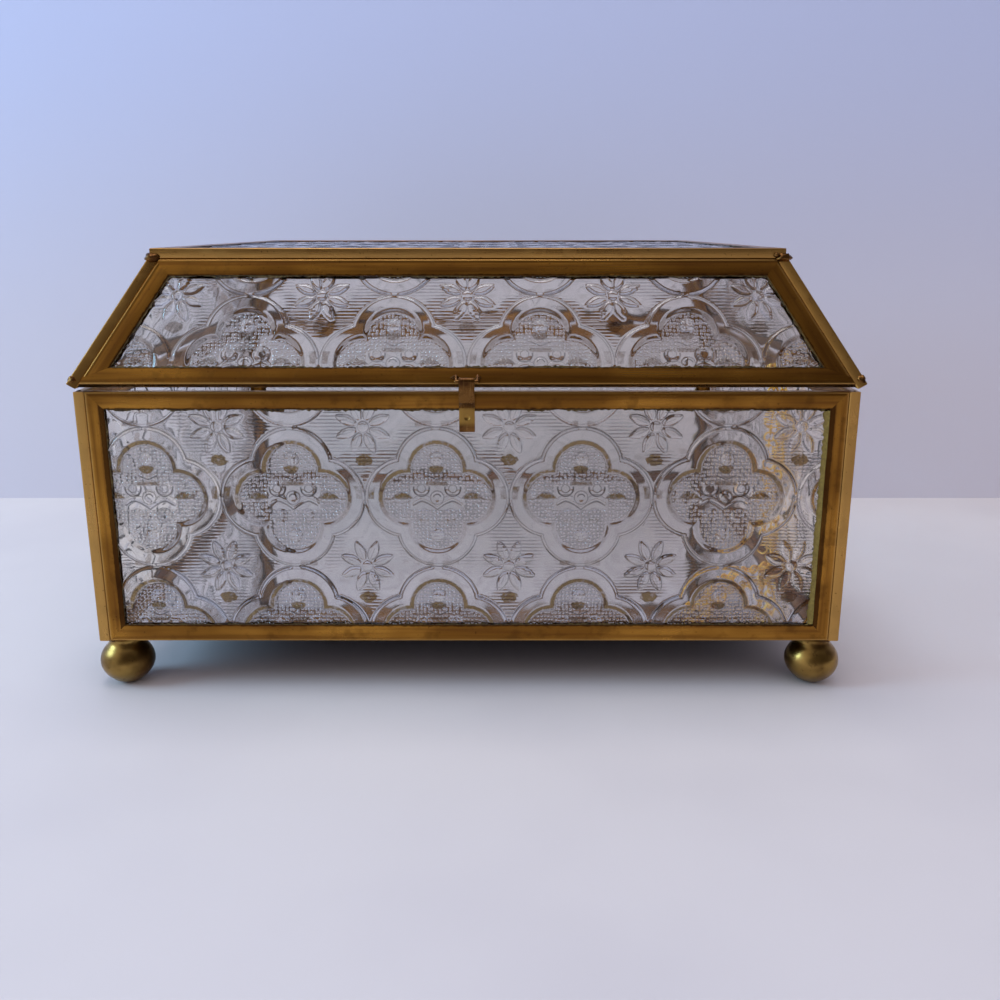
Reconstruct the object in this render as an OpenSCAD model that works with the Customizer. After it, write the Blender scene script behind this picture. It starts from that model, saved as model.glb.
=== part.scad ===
// Glass casket box: patterned panes framed in folded brass channel, a mirror floor,
// a sloped lid on two rear hinges, a hanging hasp in front and four ball feet.
// Millimetres, +Z up, front towards -Y. The origin is on the surface under the middle.

/* [Base] */
// Outside width of the base, left to right
base_w = 205; // [150:1:280]
// Outside depth of the base, front to back
base_d = 185; // [130:1:260]
// Height of the base walls
wall_h = 69.5; // [50:0.5:110]

/* [Lid] */
// Lean of the sloped panes from upright, in degrees
slope = 30; // [22:1:40]
// Height of the lid, from the top of the walls to its flat top
lid_h = 36; // [24:0.5:48]
// How far the lid's lower edge stands out past the walls
lid_overhang = 1.1; // [0.6:0.1:1.6]
// Gap between the closed lid and the top of the walls
lid_gap = 0.8; // [0.4:0.1:1.4]
// How far the flat top is set in from the sloped panes
top_setback = 0.8; // [0.2:0.1:1.5]

/* [Panes] */
// Thickness of the glass
glass_t = 2.2; // [1.8:0.1:3]
// Wall of the brass channel
came_wall = 0.4; // [0.3:0.05:0.6]
// Width of the brass channel's face
came_w = 4.6; // [4.2:0.1:7]

/* [Feet] */
// Height of the feet
foot_h = 14; // [12:0.5:22]
// Diameter of the ball
ball_d = 15; // [10:0.5:18]
// Height of the ball, which is a little flattened
ball_h = 13.4; // [9:0.2:18]
// Diameter of the neck between ball and base
neck_d = 6.4; // [4:0.2:9]
// Diameter of the worn flat under the ball
foot_flat_d = 4; // [2:0.2:6]
// Distance from the outside of the walls to the middle of a foot
foot_inset = 5.5; // [5:0.5:12]

/* [Hinges] */
// Distance between the middles of the two hinges
hinge_spacing = 110; // [60:1:120]
// Length of a hinge
hinge_l = 22; // [16:0.5:30]
// Length of the lid's knuckle, in the middle of a hinge
lid_knuckle_l = 8; // [5:0.5:10]
// Outside diameter of the knuckles
knuckle_d = 3; // [2.6:0.1:3.8]
// Diameter of the hinge pins
hinge_pin_d = 1.4; // [1:0.1:1.6]
// Thickness of the hinge leaves
leaf_t = 0.5; // [0.3:0.05:0.7]
// Height of the hinge leaves
leaf_h = 4; // [3:0.1:4.2]

/* [Clasp] */
// Width of the hasp
hasp_w = 4.1; // [3:0.1:8]
// Thickness of the hasp's sheet
hasp_t = 0.5; // [0.4:0.05:0.8]
// Length of the hasp below its wire
hasp_l = 13.4; // [11:0.1:20]
// Length of the doubled fold that hangs on the wire
hasp_fold_l = 5; // [4:0.1:6]
// Diameter of the wire that the hasp hangs on
clasp_wire_d = 0.9; // [0.7:0.05:1.2]
// Diameter of the dimple punched in the hasp
dimple_d = 2.4; // [1.6:0.1:3]

/* [Stay chain] */
// How far the lid opens before the chain is taut, in degrees
lid_open = 90; // [85:1:100]
// Distance from the front of the walls to the chain's post on the lid
chain_lid_in = 53; // [45:1:60]
// Distance from the front of the walls to the chain's post on the base
chain_base_in = 65; // [63:1:80]
// Outside diameter of a round link
link_d = 3.8; // [3.4:0.1:4.4]
// Diameter of the links' wire
link_wire_d = 0.6; // [0.5:0.05:0.7]
// Diameter of the posts that the chain's ends turn on
chain_post_d = 0.8; // [0.6:0.1:1]
// Height of the chain's post above the lid's lower edge
chain_lid_up = 2.5; // [2.2:0.1:3]
// Direction in which the slack lies on the mirror, from straight across towards the front
slack_turn = 51; // [35:1:55]
// How far the slack winds to one side
slack_wind = 3; // [0:0.5:4]
// Room that the slack keeps from the front wall, for its swing when the lid begins to open
slack_room = 8; // [6:0.5:12]
// Least length of chain between the two hanging strands
slack_least_l = 15; // [10:1:20]

/* [Fits] */
// Radial clearance of the hinge pins and the clasp wire
pin_clearance = 0.05; // [0.02:0.01:0.08]
// Gap between moving pieces that don't touch
free_gap = 0.3; // [0.25:0.05:0.5]

/* [Hidden] */
$fn = 64;

// Edges of a pane's outline, counted from the lower one against the clock
RAILS = [0, 2];
STILES = [1, 3];

// Longer than the whole box, for cutting away everything past a plane
far = 2 * (base_w + base_d);

pane_t = glass_t + 2 * came_wall;
rim_z = foot_h + wall_h;
top_z = rim_z + lid_h;
under_top_z = top_z - pane_t;

// Lowest outer edge of the sloped panes: the lower ends are cut square to the slope
edge_w = base_w / 2 + lid_overhang;
edge_d = base_d / 2 + lid_overhang;
edge_z = rim_z + lid_gap + pane_t * sin(slope);

// Length of a sloped pane's outer face, and of what its inner face needs beyond that
slope_l = (under_top_z - edge_z) / cos(slope);
slope_cut = pane_t * tan(slope);

// Room that a side pane takes at the hip, in the outer face of the front and back panes
hip_room = pane_t / sqrt(1 - pow(sin(slope), 4)) * sqrt(1 + pow(sin(slope), 2));

// The flat top, set in from where the sloped panes' outer faces end
top_w = edge_w - slope_l * sin(slope) - top_setback;
top_d = edge_d - slope_l * sin(slope) - top_setback;

// Hinge axis, behind the back wall and clear of the lid's lower edge
knuckle_r = knuckle_d / 2;
hinge_bore_r = hinge_pin_d / 2 + pin_clearance;
hinge_y = base_d / 2 + knuckle_r + free_gap;
hinge_z = edge_z + ((hinge_y - edge_d) * sin(slope) - knuckle_r - 2 * free_gap) / cos(slope);
hinge_pin_head_l = 0.4;
hinge_pin_head_r = hinge_pin_d / 2 + hinge_pin_head_l;

// Clasp wire axis, in front of the lid's lower edge
clasp_bore_r = clasp_wire_d / 2 + pin_clearance;
eye_r = clasp_bore_r + hasp_t;
wire_up = 0.1;
wire_out = eye_r + free_gap / 2;
wire_y = -edge_d + wire_up * sin(slope) - wire_out * cos(slope);
wire_z = edge_z + wire_up * cos(slope) + wire_out * sin(slope);
wire_leg_up = 1.8;
hasp_back_y = -base_d / 2 - free_gap - 0.1 - wire_y;
dimple_depth = 0.3;

// Stay chain, along the right wall: one strand hangs from the lid and one from the base, and
// the slack between them lies on the mirror, unless the chain is too short to reach it. Points
// are [y, z], and open_post is the lid's post when the lid stands open.
chain_x = base_w / 2 - pane_t - link_d / 2 - 2 * free_gap;
link_gap = 0.1;
link_r = (link_d - link_wire_d) / 2;
link_pitch = 2 * (link_r - link_wire_d / 2 - link_gap);
first_link = link_r - (chain_post_d + link_wire_d) / 2 - link_gap;
mirror_rest_z = foot_h + pane_t + link_d / 2 + link_gap;
lid_post = [chain_lid_in - base_d / 2, rim_z + lid_gap + chain_lid_up];
base_post = [chain_base_in - base_d / 2, rim_z - came_w / 2];
hinge = [hinge_y, hinge_z];
open_post = hinge + opened(lid_post - hinge);
chain_l = norm(open_post - base_post) - (link_d + link_wire_d) / 2 - link_gap;
slack_z = max(mirror_rest_z, (lid_post.y + base_post.y + slack_least_l - chain_l) / 2);
lid_strand_l = lid_post.y - slack_z;
base_strand_l = base_post.y - slack_z;
slack_l = chain_l - lid_strand_l - base_strand_l;

// The slack lies nearly straight until it comes near the front wall, and curls round from there
slack_curl_r = slack_l / 7;
slack_reach = chain_lid_in - pane_t - link_d / 2 - slack_room;
slack_run = (slack_reach - slack_curl_r * (1 - cos(slack_turn))) / sin(slack_turn);
slack_start = link_pitch - link_r;

// A point measured from the hinge, after the lid has opened
function opened(p) = [
    p.x * cos(lid_open) + p.y * sin(lid_open),
    p.y * cos(lid_open) - p.x * sin(lid_open)
];

function unit(v) = v / norm(v);
function left_of(v) = [-v.y, v.x];

// A four-sided outline with every edge moved inward by d
function inset(outline, d) = [
    for (i = [0:3])
        let (before = outline[(i + 3) % 4], here = outline[i], after = outline[(i + 1) % 4])
        let (n = left_of(unit(here - before)), m = left_of(unit(after - here)))
        here + d * (n + m) / (1 + n * m)
];

// Turn about the upright axis that brings the front to a side
function turn_to(side) = side == "front" ? 0 : side == "right" ? 90 : side == "back" ? 180 : 270;

function across_front(side) = side == "front" || side == "back";

function rectangle(half_w, height) = [[-half_w, 0], [half_w, 0], [half_w, height], [-half_w, height]];

// A sloped pane: its ends lean in along the hips, and are drawn in by room
function hipped(half_w, height, room = 0) = [
    [room - half_w, 0],
    [half_w - room, 0],
    [half_w - room - height * sin(slope), height],
    [room - half_w + height * sin(slope), height]
];

// A point on the lid's back slope, up from its lower edge and out from its face, as [y, z]
function back_slope(up, out) = [
    edge_d - up * sin(slope) + out * cos(slope),
    edge_z + up * cos(slope) + out * sin(slope)
];

// Panes are drawn flat: x along the edge, y up the pane, outer face at z = 0
module on_side(side, out, height, lean = 0)
    rotate([0, 0, turn_to(side)]) translate([0, -out, height]) rotate([90 - lean, 0, 0]) children();

module on_wall(side)
    on_side(side, across_front(side) ? base_d / 2 : base_w / 2, foot_h) children();

module on_slope(side)
    on_side(side, across_front(side) ? edge_d : edge_w, edge_z, slope) children();

module lying(height, half_d)
    translate([0, -half_d, height + pane_t]) children();

module sheet(outline)
    translate([0, 0, came_wall - pane_t]) linear_extrude(glass_t) polygon(inset(outline, came_wall));

// Brass channel along some edges of a pane, mitred at the corners, with a slot for the glass
module came(edges, outline, outer)
    for (i = edges)
        let (j = (i + 1) % 4, inner = inset(outline, came_w))
        difference() {
            translate([0, 0, -pane_t])
                linear_extrude(pane_t)
                    polygon([outer[i], outer[j], inner[j], inner[i]]);
            sheet(outline);
        }

// The front and back walls stand between the side walls
function wall_outline(side) =
    rectangle(across_front(side) ? base_w / 2 - pane_t : base_d / 2, wall_h);

// The front and back slopes end at the inner faces of the side slopes
function slope_outline(side) = across_front(side)
    ? hipped(edge_w, slope_l, hip_room)
    : hipped(edge_d, slope_l);

function slope_blank(side) =
    hipped(across_front(side) ? edge_w : edge_d, slope_l + slope_cut);

floor_outline = rectangle(base_w / 2 - pane_t, base_d - 2 * pane_t);
top_outline = rectangle(top_w, 2 * top_d);

module base_glass(side)
    color([0.86, 0.9, 0.92, 0.45]) on_wall(side) sheet(wall_outline(side));

module base_came(side, edges)
    color([0.62, 0.46, 0.2]) on_wall(side) came(edges, wall_outline(side), wall_outline(side));

module base_mirror()
    color([0.75, 0.77, 0.8]) lying(foot_h, base_d / 2 - pane_t) sheet(floor_outline);

module mirror_came(edges)
    color([0.62, 0.46, 0.2]) lying(foot_h, base_d / 2 - pane_t) came(edges, floor_outline, floor_outline);

module lid_glass(side)
    color([0.86, 0.9, 0.92, 0.45]) on_slope(side) sheet(slope_outline(side));

module lid_came(side, edges)
    color([0.62, 0.46, 0.2]) difference() {
        on_slope(side) came(edges, slope_outline(side), slope_blank(side));
        translate([-far / 2, -far / 2, under_top_z]) cube(far);
        if (across_front(side))
            for (end = ["left", "right"])
                on_slope(end) translate([-far / 2, -far / 2, -pane_t]) cube(far);
    }

module lid_top_glass()
    color([0.86, 0.9, 0.92, 0.45]) lying(under_top_z, top_d) sheet(top_outline);

module lid_top_came(edges)
    color([0.62, 0.46, 0.2]) lying(under_top_z, top_d) came(edges, top_outline, top_outline);

// A ball on a short neck, worn flat where it stands
module foot(x_side, y_side) {
    ball_r = ball_d / 2;
    flat_r = foot_flat_d / 2;
    ball_z = ball_h / ball_d * sqrt(ball_r * ball_r - flat_r * flat_r);
    color([0.7, 0.55, 0.3])
        translate([x_side * (base_w / 2 - foot_inset), y_side * (base_d / 2 - foot_inset), 0])
            difference() {
                union() {
                    translate([0, 0, ball_z]) scale([1, 1, ball_h / ball_d]) sphere(ball_r);
                    translate([0, 0, ball_z]) cylinder(h = foot_h - ball_z, d = neck_d);
                }
                translate([-ball_d, -ball_d, -ball_d]) cube([2 * ball_d, 2 * ball_d, ball_d]);
                translate([-ball_d, -ball_d, foot_h]) cube(2 * ball_d);
            }
}

// Places a hinge piece at the left (-1) or right (1) hinge, measured from its middle
module at_hinge(side)
    translate([side * hinge_spacing / 2, 0, 0]) children();

// A profile in the upright front-to-back plane, drawn out along x from its middle
module across(length)
    rotate([90, 0, 90]) translate([0, 0, -length / 2]) linear_extrude(length) children();

module hinge_base_leaf(side) {
    notch_l = lid_knuckle_l + 2 * free_gap;
    knuckle_l = (hinge_l - notch_l) / 2;
    foot_z = hinge_z - leaf_h;
    color([0.55, 0.4, 0.18]) at_hinge(side) difference() {
        union() {
            across(hinge_l) {
                translate([base_d / 2, foot_z]) square([leaf_t, leaf_h]);
                translate([base_d / 2, hinge_z - knuckle_r * 0.6])
                    square([knuckle_r * 0.6, knuckle_r * 0.6]);
            }
            translate([-hinge_l / 2, hinge_y, hinge_z]) rotate([0, 90, 0]) cylinder(h = hinge_l, r = knuckle_r);
        }
        translate([-notch_l / 2, base_d / 2 - 1, hinge_z - knuckle_r - free_gap])
            cube([notch_l, knuckle_d + 3, knuckle_d + leaf_h]);
        translate([-hinge_l, hinge_y, hinge_z]) rotate([0, 90, 0]) cylinder(h = 2 * hinge_l, r = hinge_bore_r);
    }
}

module hinge_lid_leaf(side)
    color([0.55, 0.4, 0.18]) at_hinge(side) difference() {
        union() {
            across(hinge_l)
                polygon([
                    back_slope(0, 0),
                    back_slope(0, leaf_t),
                    back_slope(leaf_h, leaf_t),
                    back_slope(leaf_h, 0)
                ]);
            across(lid_knuckle_l) {
                translate([hinge_y, hinge_z]) circle(knuckle_r);
                polygon([
                    [hinge_y, hinge_z + knuckle_r * 0.7],
                    [hinge_y + knuckle_r * 0.99, hinge_z],
                    back_slope(leaf_h * 0.4, leaf_t),
                    back_slope(0, leaf_t),
                    back_slope(0, 0)
                ]);
            }
        }
        translate([-hinge_l, hinge_y, hinge_z]) rotate([0, 90, 0]) cylinder(h = 2 * hinge_l, r = hinge_bore_r);
    }

// A plain pin, riveted over at both ends
module hinge_pin(side)
    color([0.72, 0.58, 0.32]) at_hinge(side) translate([0, hinge_y, hinge_z]) rotate([0, 90, 0]) {
        cylinder(h = hinge_l, d = hinge_pin_d, center = true);
        for (end = [-1, 1])
            translate([0, 0, end * (hinge_l + hinge_pin_head_l) / 2])
                cylinder(h = hinge_pin_head_l, r = hinge_pin_head_r, center = true);
    }

// A wire staple on the lid's front rail: it runs through the hasp's eye, and its legs lie on the rail
module clasp_wire() {
    leg_x = hasp_w / 2 + free_gap + clasp_wire_d / 2;
    leg_rise = wire_leg_up - wire_up;
    color([0.72, 0.58, 0.32]) on_slope("front") difference() {
        union() {
            translate([-leg_x, wire_up, wire_out]) rotate([0, 90, 0]) cylinder(h = 2 * leg_x, d = clasp_wire_d);
            for (end = [-1, 1])
                translate([end * leg_x, wire_up, wire_out]) {
                    sphere(d = clasp_wire_d);
                    rotate([-90 - atan2(wire_out, leg_rise), 0, 0])
                        cylinder(h = norm([wire_out, leg_rise]) + clasp_wire_d, d = clasp_wire_d);
                }
        }
        translate([-far / 2, -far / 2, -far]) cube(far);
    }
}

// A strip folded over the wire, bent back to the wall, with a punched dimple near its end
module hasp() {
    knee_z = -hasp_fold_l - hasp_t / 2;
    foot_z = knee_z - hasp_back_y;
    bend = hasp_t * tan(22.5);
    dimple_z = (foot_z - hasp_l) / 2 + 0.6;
    color([0.5, 0.36, 0.16]) translate([0, wire_y, wire_z]) difference() {
        union() {
            across(hasp_w) {
                circle(eye_r);
                translate([-eye_r, -hasp_fold_l]) square([2 * hasp_t, hasp_fold_l]);
                polygon([
                    [2 * hasp_t - eye_r - hasp_t, 0],
                    [2 * hasp_t - eye_r, 0],
                    [2 * hasp_t - eye_r, knee_z],
                    [hasp_back_y, foot_z],
                    [hasp_back_y, -hasp_l],
                    [hasp_back_y - hasp_t, -hasp_l],
                    [hasp_back_y - hasp_t, foot_z - bend],
                    [2 * hasp_t - eye_r - hasp_t, knee_z - bend]
                ]);
            }
            translate([0, hasp_back_y - dimple_d / 2 + dimple_depth, dimple_z]) sphere(d = dimple_d);
        }
        translate([-far / 2, hasp_back_y - hasp_t - far, -hasp_l]) cube([far, far, hasp_l + foot_z - bend]);
        translate([0, hasp_back_y - hasp_t - dimple_d / 2 + dimple_depth, dimple_z]) sphere(d = dimple_d);
        across(far) circle(clasp_bore_r);
    }
}

// A round-headed post that sticks in from the right side
module chain_post(post) {
    head_d = 2 * (chain_post_d + link_gap);
    head_x = chain_x - link_wire_d / 2 - link_gap - head_d / 2;
    color([0.72, 0.58, 0.32]) difference() {
        translate([head_x, post.x, post.y]) rotate([0, 90, 0]) {
            sphere(d = head_d);
            cylinder(h = 2 * link_d, d = chain_post_d);
        }
        children();
    }
}

module chain_base_post()
    chain_post(base_post)
        translate([base_w / 2 - pane_t, -far / 2, -far / 2]) cube(far);

module chain_lid_post()
    chain_post(lid_post)
        on_slope("right") translate([-far / 2, -far / 2, -pane_t]) cube(far);

// A round link that faces along x
module link()
    rotate([0, 90, 0]) rotate_extrude() translate([link_r, 0]) circle(d = link_wire_d, $fn = 24);

// Links hanging from a post to a drop, each a quarter turn from the last. They twist a little
// on the way, so that the last one faces along the slack.
module hanging_links(post, drop) {
    room = drop - first_link - link_r;
    steps = ceil(room / link_pitch);
    twist = slack_turn - 90 * (steps % 2);
    color([0.72, 0.56, 0.28]) translate([chain_x, post.x, post.y - first_link])
        for (i = [0:steps])
            translate([0, 0, -i * room / steps])
                rotate([0, 0, 90 * i + i * twist / steps]) link();
}

// Places a link along the slack, which heads towards -X here
module on_slack(along) {
    winding = 360 * (along - slack_start) / (slack_run - slack_start);
    slope = slack_wind * sin(winding) * 2 * PI / (slack_run - slack_start);
    if (along < slack_run)
        translate([-along, slack_wind * (1 - cos(winding)), 0]) rotate([0, 0, -atan(slope)]) children();
    else
        translate([-slack_run, slack_curl_r, 0])
            rotate([0, 0, -(along - slack_run) / slack_curl_r * 180 / PI])
                translate([0, -slack_curl_r, 0]) children();
}

// The slack hangs in the last link of the lid's strand
module chain_slack() {
    room = slack_l - slack_start;
    longest_step = norm([1, slack_wind * 2 * PI / (slack_run - slack_start)]);
    steps = ceil(room * longest_step / link_pitch);
    color([0.72, 0.56, 0.28]) translate([chain_x, lid_post.x, slack_z]) rotate([0, 0, slack_turn])
        for (i = [0:steps])
            on_slack(slack_start + i * room / steps)
                rotate([0, 90, 0]) rotate([0, 0, 90 * (i + 1)]) link();
}

base_glass("front");  // base_front_glass
base_glass("right");  // base_right_glass
base_glass("back");  // base_back_glass
base_glass("left");  // base_left_glass
base_mirror();
base_came("front", RAILS);  // base_front_rails
base_came("right", RAILS);  // base_right_rails
base_came("back", RAILS);  // base_back_rails
base_came("left", RAILS);  // base_left_rails
base_came("front", STILES);  // base_front_stiles
base_came("right", STILES);  // base_right_stiles
base_came("back", STILES);  // base_back_stiles
base_came("left", STILES);  // base_left_stiles
mirror_came(RAILS);  // mirror_long_cames
mirror_came(STILES);  // mirror_short_cames
foot(-1, -1);  // front_left_foot
foot(1, -1);  // front_right_foot
foot(-1, 1);  // back_left_foot
foot(1, 1);  // back_right_foot
hinge_base_leaf(-1);  // left_hinge_base_leaf
hinge_base_leaf(1);  // right_hinge_base_leaf
hinge_pin(-1);  // left_hinge_pin
hinge_pin(1);  // right_hinge_pin
lid_glass("front");  // lid_front_glass
lid_glass("right");  // lid_right_glass
lid_glass("back");  // lid_back_glass
lid_glass("left");  // lid_left_glass
lid_top_glass();
lid_came("front", RAILS);  // lid_front_rails
lid_came("right", RAILS);  // lid_right_rails
lid_came("back", RAILS);  // lid_back_rails
lid_came("left", RAILS);  // lid_left_rails
lid_came("front", STILES);  // lid_front_stiles
lid_came("right", STILES);  // lid_right_stiles
lid_came("back", STILES);  // lid_back_stiles
lid_came("left", STILES);  // lid_left_stiles
lid_top_came(RAILS);  // lid_top_long_cames
lid_top_came(STILES);  // lid_top_short_cames
hinge_lid_leaf(-1);  // left_hinge_lid_leaf
hinge_lid_leaf(1);  // right_hinge_lid_leaf
clasp_wire();
hasp();
chain_base_post();
chain_lid_post();
hanging_links(base_post, base_strand_l);  // chain_base_strand
hanging_links(lid_post, lid_strand_l);  // chain_lid_strand
chain_slack();
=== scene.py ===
import math

import bmesh
import bpy
import numpy as np
from mathutils import Matrix, Vector, noise


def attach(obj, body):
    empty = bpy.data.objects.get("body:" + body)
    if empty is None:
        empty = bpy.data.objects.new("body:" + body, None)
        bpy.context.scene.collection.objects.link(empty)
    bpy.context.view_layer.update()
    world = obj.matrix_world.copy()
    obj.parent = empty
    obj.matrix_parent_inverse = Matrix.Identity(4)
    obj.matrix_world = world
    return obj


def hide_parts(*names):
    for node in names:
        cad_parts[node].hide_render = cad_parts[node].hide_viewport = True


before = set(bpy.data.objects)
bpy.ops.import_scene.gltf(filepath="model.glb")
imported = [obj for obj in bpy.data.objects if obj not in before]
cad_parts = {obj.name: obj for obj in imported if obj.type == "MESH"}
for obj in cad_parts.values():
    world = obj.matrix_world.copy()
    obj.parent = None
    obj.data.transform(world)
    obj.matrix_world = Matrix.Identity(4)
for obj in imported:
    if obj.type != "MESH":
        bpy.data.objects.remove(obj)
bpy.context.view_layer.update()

# Sizes in millimetres, as in the CAD model
BASE_W, BASE_D, WALL_H, FOOT_H = 205.0, 185.0, 69.5, 14.0
LID_H, LID_GAP, LID_OVERHANG, TOP_SETBACK = 36.0, 0.8, 1.1, 0.8
SLOPE = math.radians(30)
GLASS_T, CAME_WALL, CAME_W = 2.2, 0.4, 4.6
PANE_T = GLASS_T + 2 * CAME_WALL
RIM_Z = FOOT_H + WALL_H
TOP_Z = RIM_Z + LID_H
EDGE_W, EDGE_D = BASE_W / 2 + LID_OVERHANG, BASE_D / 2 + LID_OVERHANG
EDGE_Z = RIM_Z + LID_GAP + PANE_T * math.sin(SLOPE)
SLOPE_L = (TOP_Z - PANE_T - EDGE_Z) / math.cos(SLOPE)
HIP_ROOM = PANE_T / math.sqrt(1 - math.sin(SLOPE) ** 4) * math.sqrt(1 + math.sin(SLOPE) ** 2)
TOP_W = EDGE_W - SLOPE_L * math.sin(SLOPE) - TOP_SETBACK
TOP_D = EDGE_D - SLOPE_L * math.sin(SLOPE) - TOP_SETBACK
FOOT_INSET, BALL_R, BALL_H, FLAT_R = 5.5, 7.5, 13.4, 2.0

# Pitch of the pressed pattern, from one four-lobed medallion to the next
PITCH = 38.5

# How far the lobes of a medallion's outer and inner outline stand from its middle
OUTER_LOBE, INNER_LOBE = 8.3, 7.7

# Where a petal starts from the middle of its flower, its length and half its width
PETAL_START, PETAL_L, PETAL_HALF_W = 1.8, 6.0, 1.35

# How far the ground of the relief lies behind the flat glass of the CAD, so that its highest
# parts stay behind the frame
GROUND_DEPTH = 0.53

METRES = Matrix.Scale(0.001, 4)
SIDES = {"front": 0, "right": 90, "back": 180, "left": 270}


# Shader maths


class Value:
    """An output socket, so that shader maths reads as Python."""

    def __init__(self, finish, socket):
        self.finish = finish
        self.socket = socket

    def maths(self, operation, *others, swapped=False):
        terms = [self, *others][::-1] if swapped else [self, *others]
        return self.finish.node("Math", dict(enumerate(terms)), operation=operation)

    def __add__(self, other):
        return self.maths("ADD", other)

    def __radd__(self, other):
        return self.maths("ADD", other)

    def __sub__(self, other):
        return self.maths("SUBTRACT", other)

    def __rsub__(self, other):
        return self.maths("SUBTRACT", other, swapped=True)

    def __mul__(self, other):
        return self.maths("MULTIPLY", other)

    def __rmul__(self, other):
        return self.maths("MULTIPLY", other)

    def __truediv__(self, other):
        return self.maths("DIVIDE", other)

    def __pow__(self, other):
        return self.maths("POWER", other)

    def __mod__(self, other):
        return self.maths("FLOORED_MODULO", other)

    def __abs__(self):
        return self.maths("ABSOLUTE")

    def sine(self):
        return self.maths("SINE")

    def cosine(self):
        return self.maths("COSINE")

    def turn_from(self, other):
        return self.maths("ARCTAN2", other)

    def root(self):
        return self.maths("SQRT")

    def least(self, other):
        return self.maths("MINIMUM", other)

    def most(self, other):
        return self.maths("MAXIMUM", other)

    def ramp(self, low, high, first=0.0, last=1.0):
        """The value mapped from low..high to first..last, smoothly and held at the ends."""
        return self.finish.node(
            "MapRange",
            {"Value": self, "From Min": low, "From Max": high, "To Min": first, "To Max": last},
            interpolation_type="SMOOTHSTEP",
        )


class Finish:
    """A material, and the one method that adds a node to it."""

    def __init__(self, name, world=False):
        self.material = bpy.data.worlds.new(name) if world else bpy.data.materials.new(name)
        self.material.use_nodes = True
        self.tree = self.material.node_tree
        self.tree.nodes.clear()
        self.surface = "ShaderNodeOutputWorld" if world else "ShaderNodeOutputMaterial"

    def node(self, kind, sockets=None, output=0, **settings):
        made = self.tree.nodes.new("ShaderNode" + kind)
        for key, setting in settings.items():
            setattr(made, key, setting)
        for key, given in (sockets or {}).items():
            if isinstance(given, Value):
                self.tree.links.new(given.socket, made.inputs[key])
            else:
                made.inputs[key].default_value = given
        return Value(self, made.outputs[output])

    def mix(self, factor, first, second):
        """A colour between two colours."""
        return self.node("Mix", {0: factor, 6: first, 7: second}, output=2, data_type="RGBA")

    def noise(self, place, scale, detail=3.0, roughness=0.55):
        return self.node(
            "TexNoise",
            {"Vector": place, "Scale": scale, "Detail": detail, "Roughness": roughness},
        )

    def show(self, shader):
        surface = self.tree.nodes.new(self.surface)
        self.tree.links.new(shader.socket, surface.inputs["Surface"])
        return self.material


def colour(red, green, blue):
    """A colour as a picture shows it (0 to 255), in the linear values of a socket."""
    linear = [c / 255 / 12.92 if c <= 10.3 else ((c / 255 + 0.055) / 1.055) ** 2.4
              for c in (red, green, blue)]
    return (*linear, 1.0)


def aged_brass():
    """Folded brass strip: satin, gold and redder brown in long soft streaks, with dirt along the glass,
    painted shade on faces that look down and a painted highlight along the folded edge.
    """
    f = Finish("aged brass")
    strip = f.node("Attribute", attribute_name="strip", output=1)
    place = f.node("TexCoord", output="Object")
    along = f.node("VectorMath", {0: strip, 1: (0.035, 1.0, 1.0)}, operation="MULTIPLY")
    clouds = f.noise(place, 38.0, 2.0, 0.5).ramp(0.36, 0.64)
    patches = f.noise(place, 210.0, 3.0, 0.55).ramp(0.52, 0.7)
    specks = f.noise(place, 1300.0, 2.0, 0.5).ramp(0.67, 0.75)
    streaks = f.noise(along, 0.55, 2.0, 0.5).ramp(0.38, 0.66)
    lines = f.noise(along, 2.2, 3.0, 0.5)
    across = f.node("SeparateXYZ", {"Vector": strip}, output=1)
    ragged = f.noise(place, 700.0, 3.0, 0.6)
    dirt = (across + ragged * 0.9).ramp(4.55, 4.95)
    # Painted highlight: the brass is lighter along the folded outer edge of each strip
    painted_highlight = (0.8 - across).ramp(0.0, 0.8)
    warm = f.mix(clouds, colour(176, 124, 50), colour(134, 90, 34))
    streaked = f.mix(streaks * 0.6, warm, colour(102, 62, 28))
    patched = f.mix(patches * 0.4, streaked, colour(92, 58, 24))
    bright = f.mix(painted_highlight * 0.65, patched, colour(206, 162, 92))
    # Painted shade: faces that look down take the dark colour of the dirt along the glass
    facing = f.node("NewGeometry", output="Normal")
    under = f.node("SeparateXYZ", {"Vector": facing}, output=2).ramp(-0.75, -0.45, 1.0, 0.0)
    dirt_and_painted_shade = f.mix(dirt.most(under) * 0.8, bright, colour(50, 28, 14))
    speckled = f.mix(specks * 0.5, dirt_and_painted_shade, colour(58, 36, 18))
    rough = lines * 0.14 + clouds * 0.08 + patches * 0.1 + 0.2
    bump = f.node("Bump", {
        "Height": lines * 0.5 + patches * 0.4 + clouds, "Strength": 0.35, "Distance": 0.00008})
    shader = f.node("BsdfPrincipled", {
        "Base Color": speckled, "Metallic": 1.0, "Roughness": rough, "Normal": bump})
    return f.show(shader)


def seam_dirt():
    """The dark, crumbly line between the brass and the glass, greenish gold at the far right."""
    f = Finish("seam dirt")
    place = f.node("TexCoord", output="Object")
    grains = f.noise(place, 1600.0, 3.0, 0.6).ramp(0.38, 0.66)
    clouds = f.noise(place, 260.0, 3.0, 0.6).ramp(0.4, 0.66)
    base = f.mix(clouds, colour(84, 62, 26), colour(40, 28, 16))
    right = f.node("SeparateXYZ", {"Vector": place}, output=0).ramp(0.092, 0.0945)
    greenish = f.mix(right * 0.85, base, colour(172, 154, 80))
    speckled = f.mix(grains * 0.5, greenish, colour(122, 106, 58))
    bump = f.node("Bump", {"Height": grains, "Strength": 0.7, "Distance": 0.00015})
    shader = f.node("BsdfPrincipled", {
        "Base Color": speckled, "Metallic": 0.4, "Roughness": clouds * 0.2 + 0.5, "Normal": bump})
    return f.show(shader)


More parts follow.
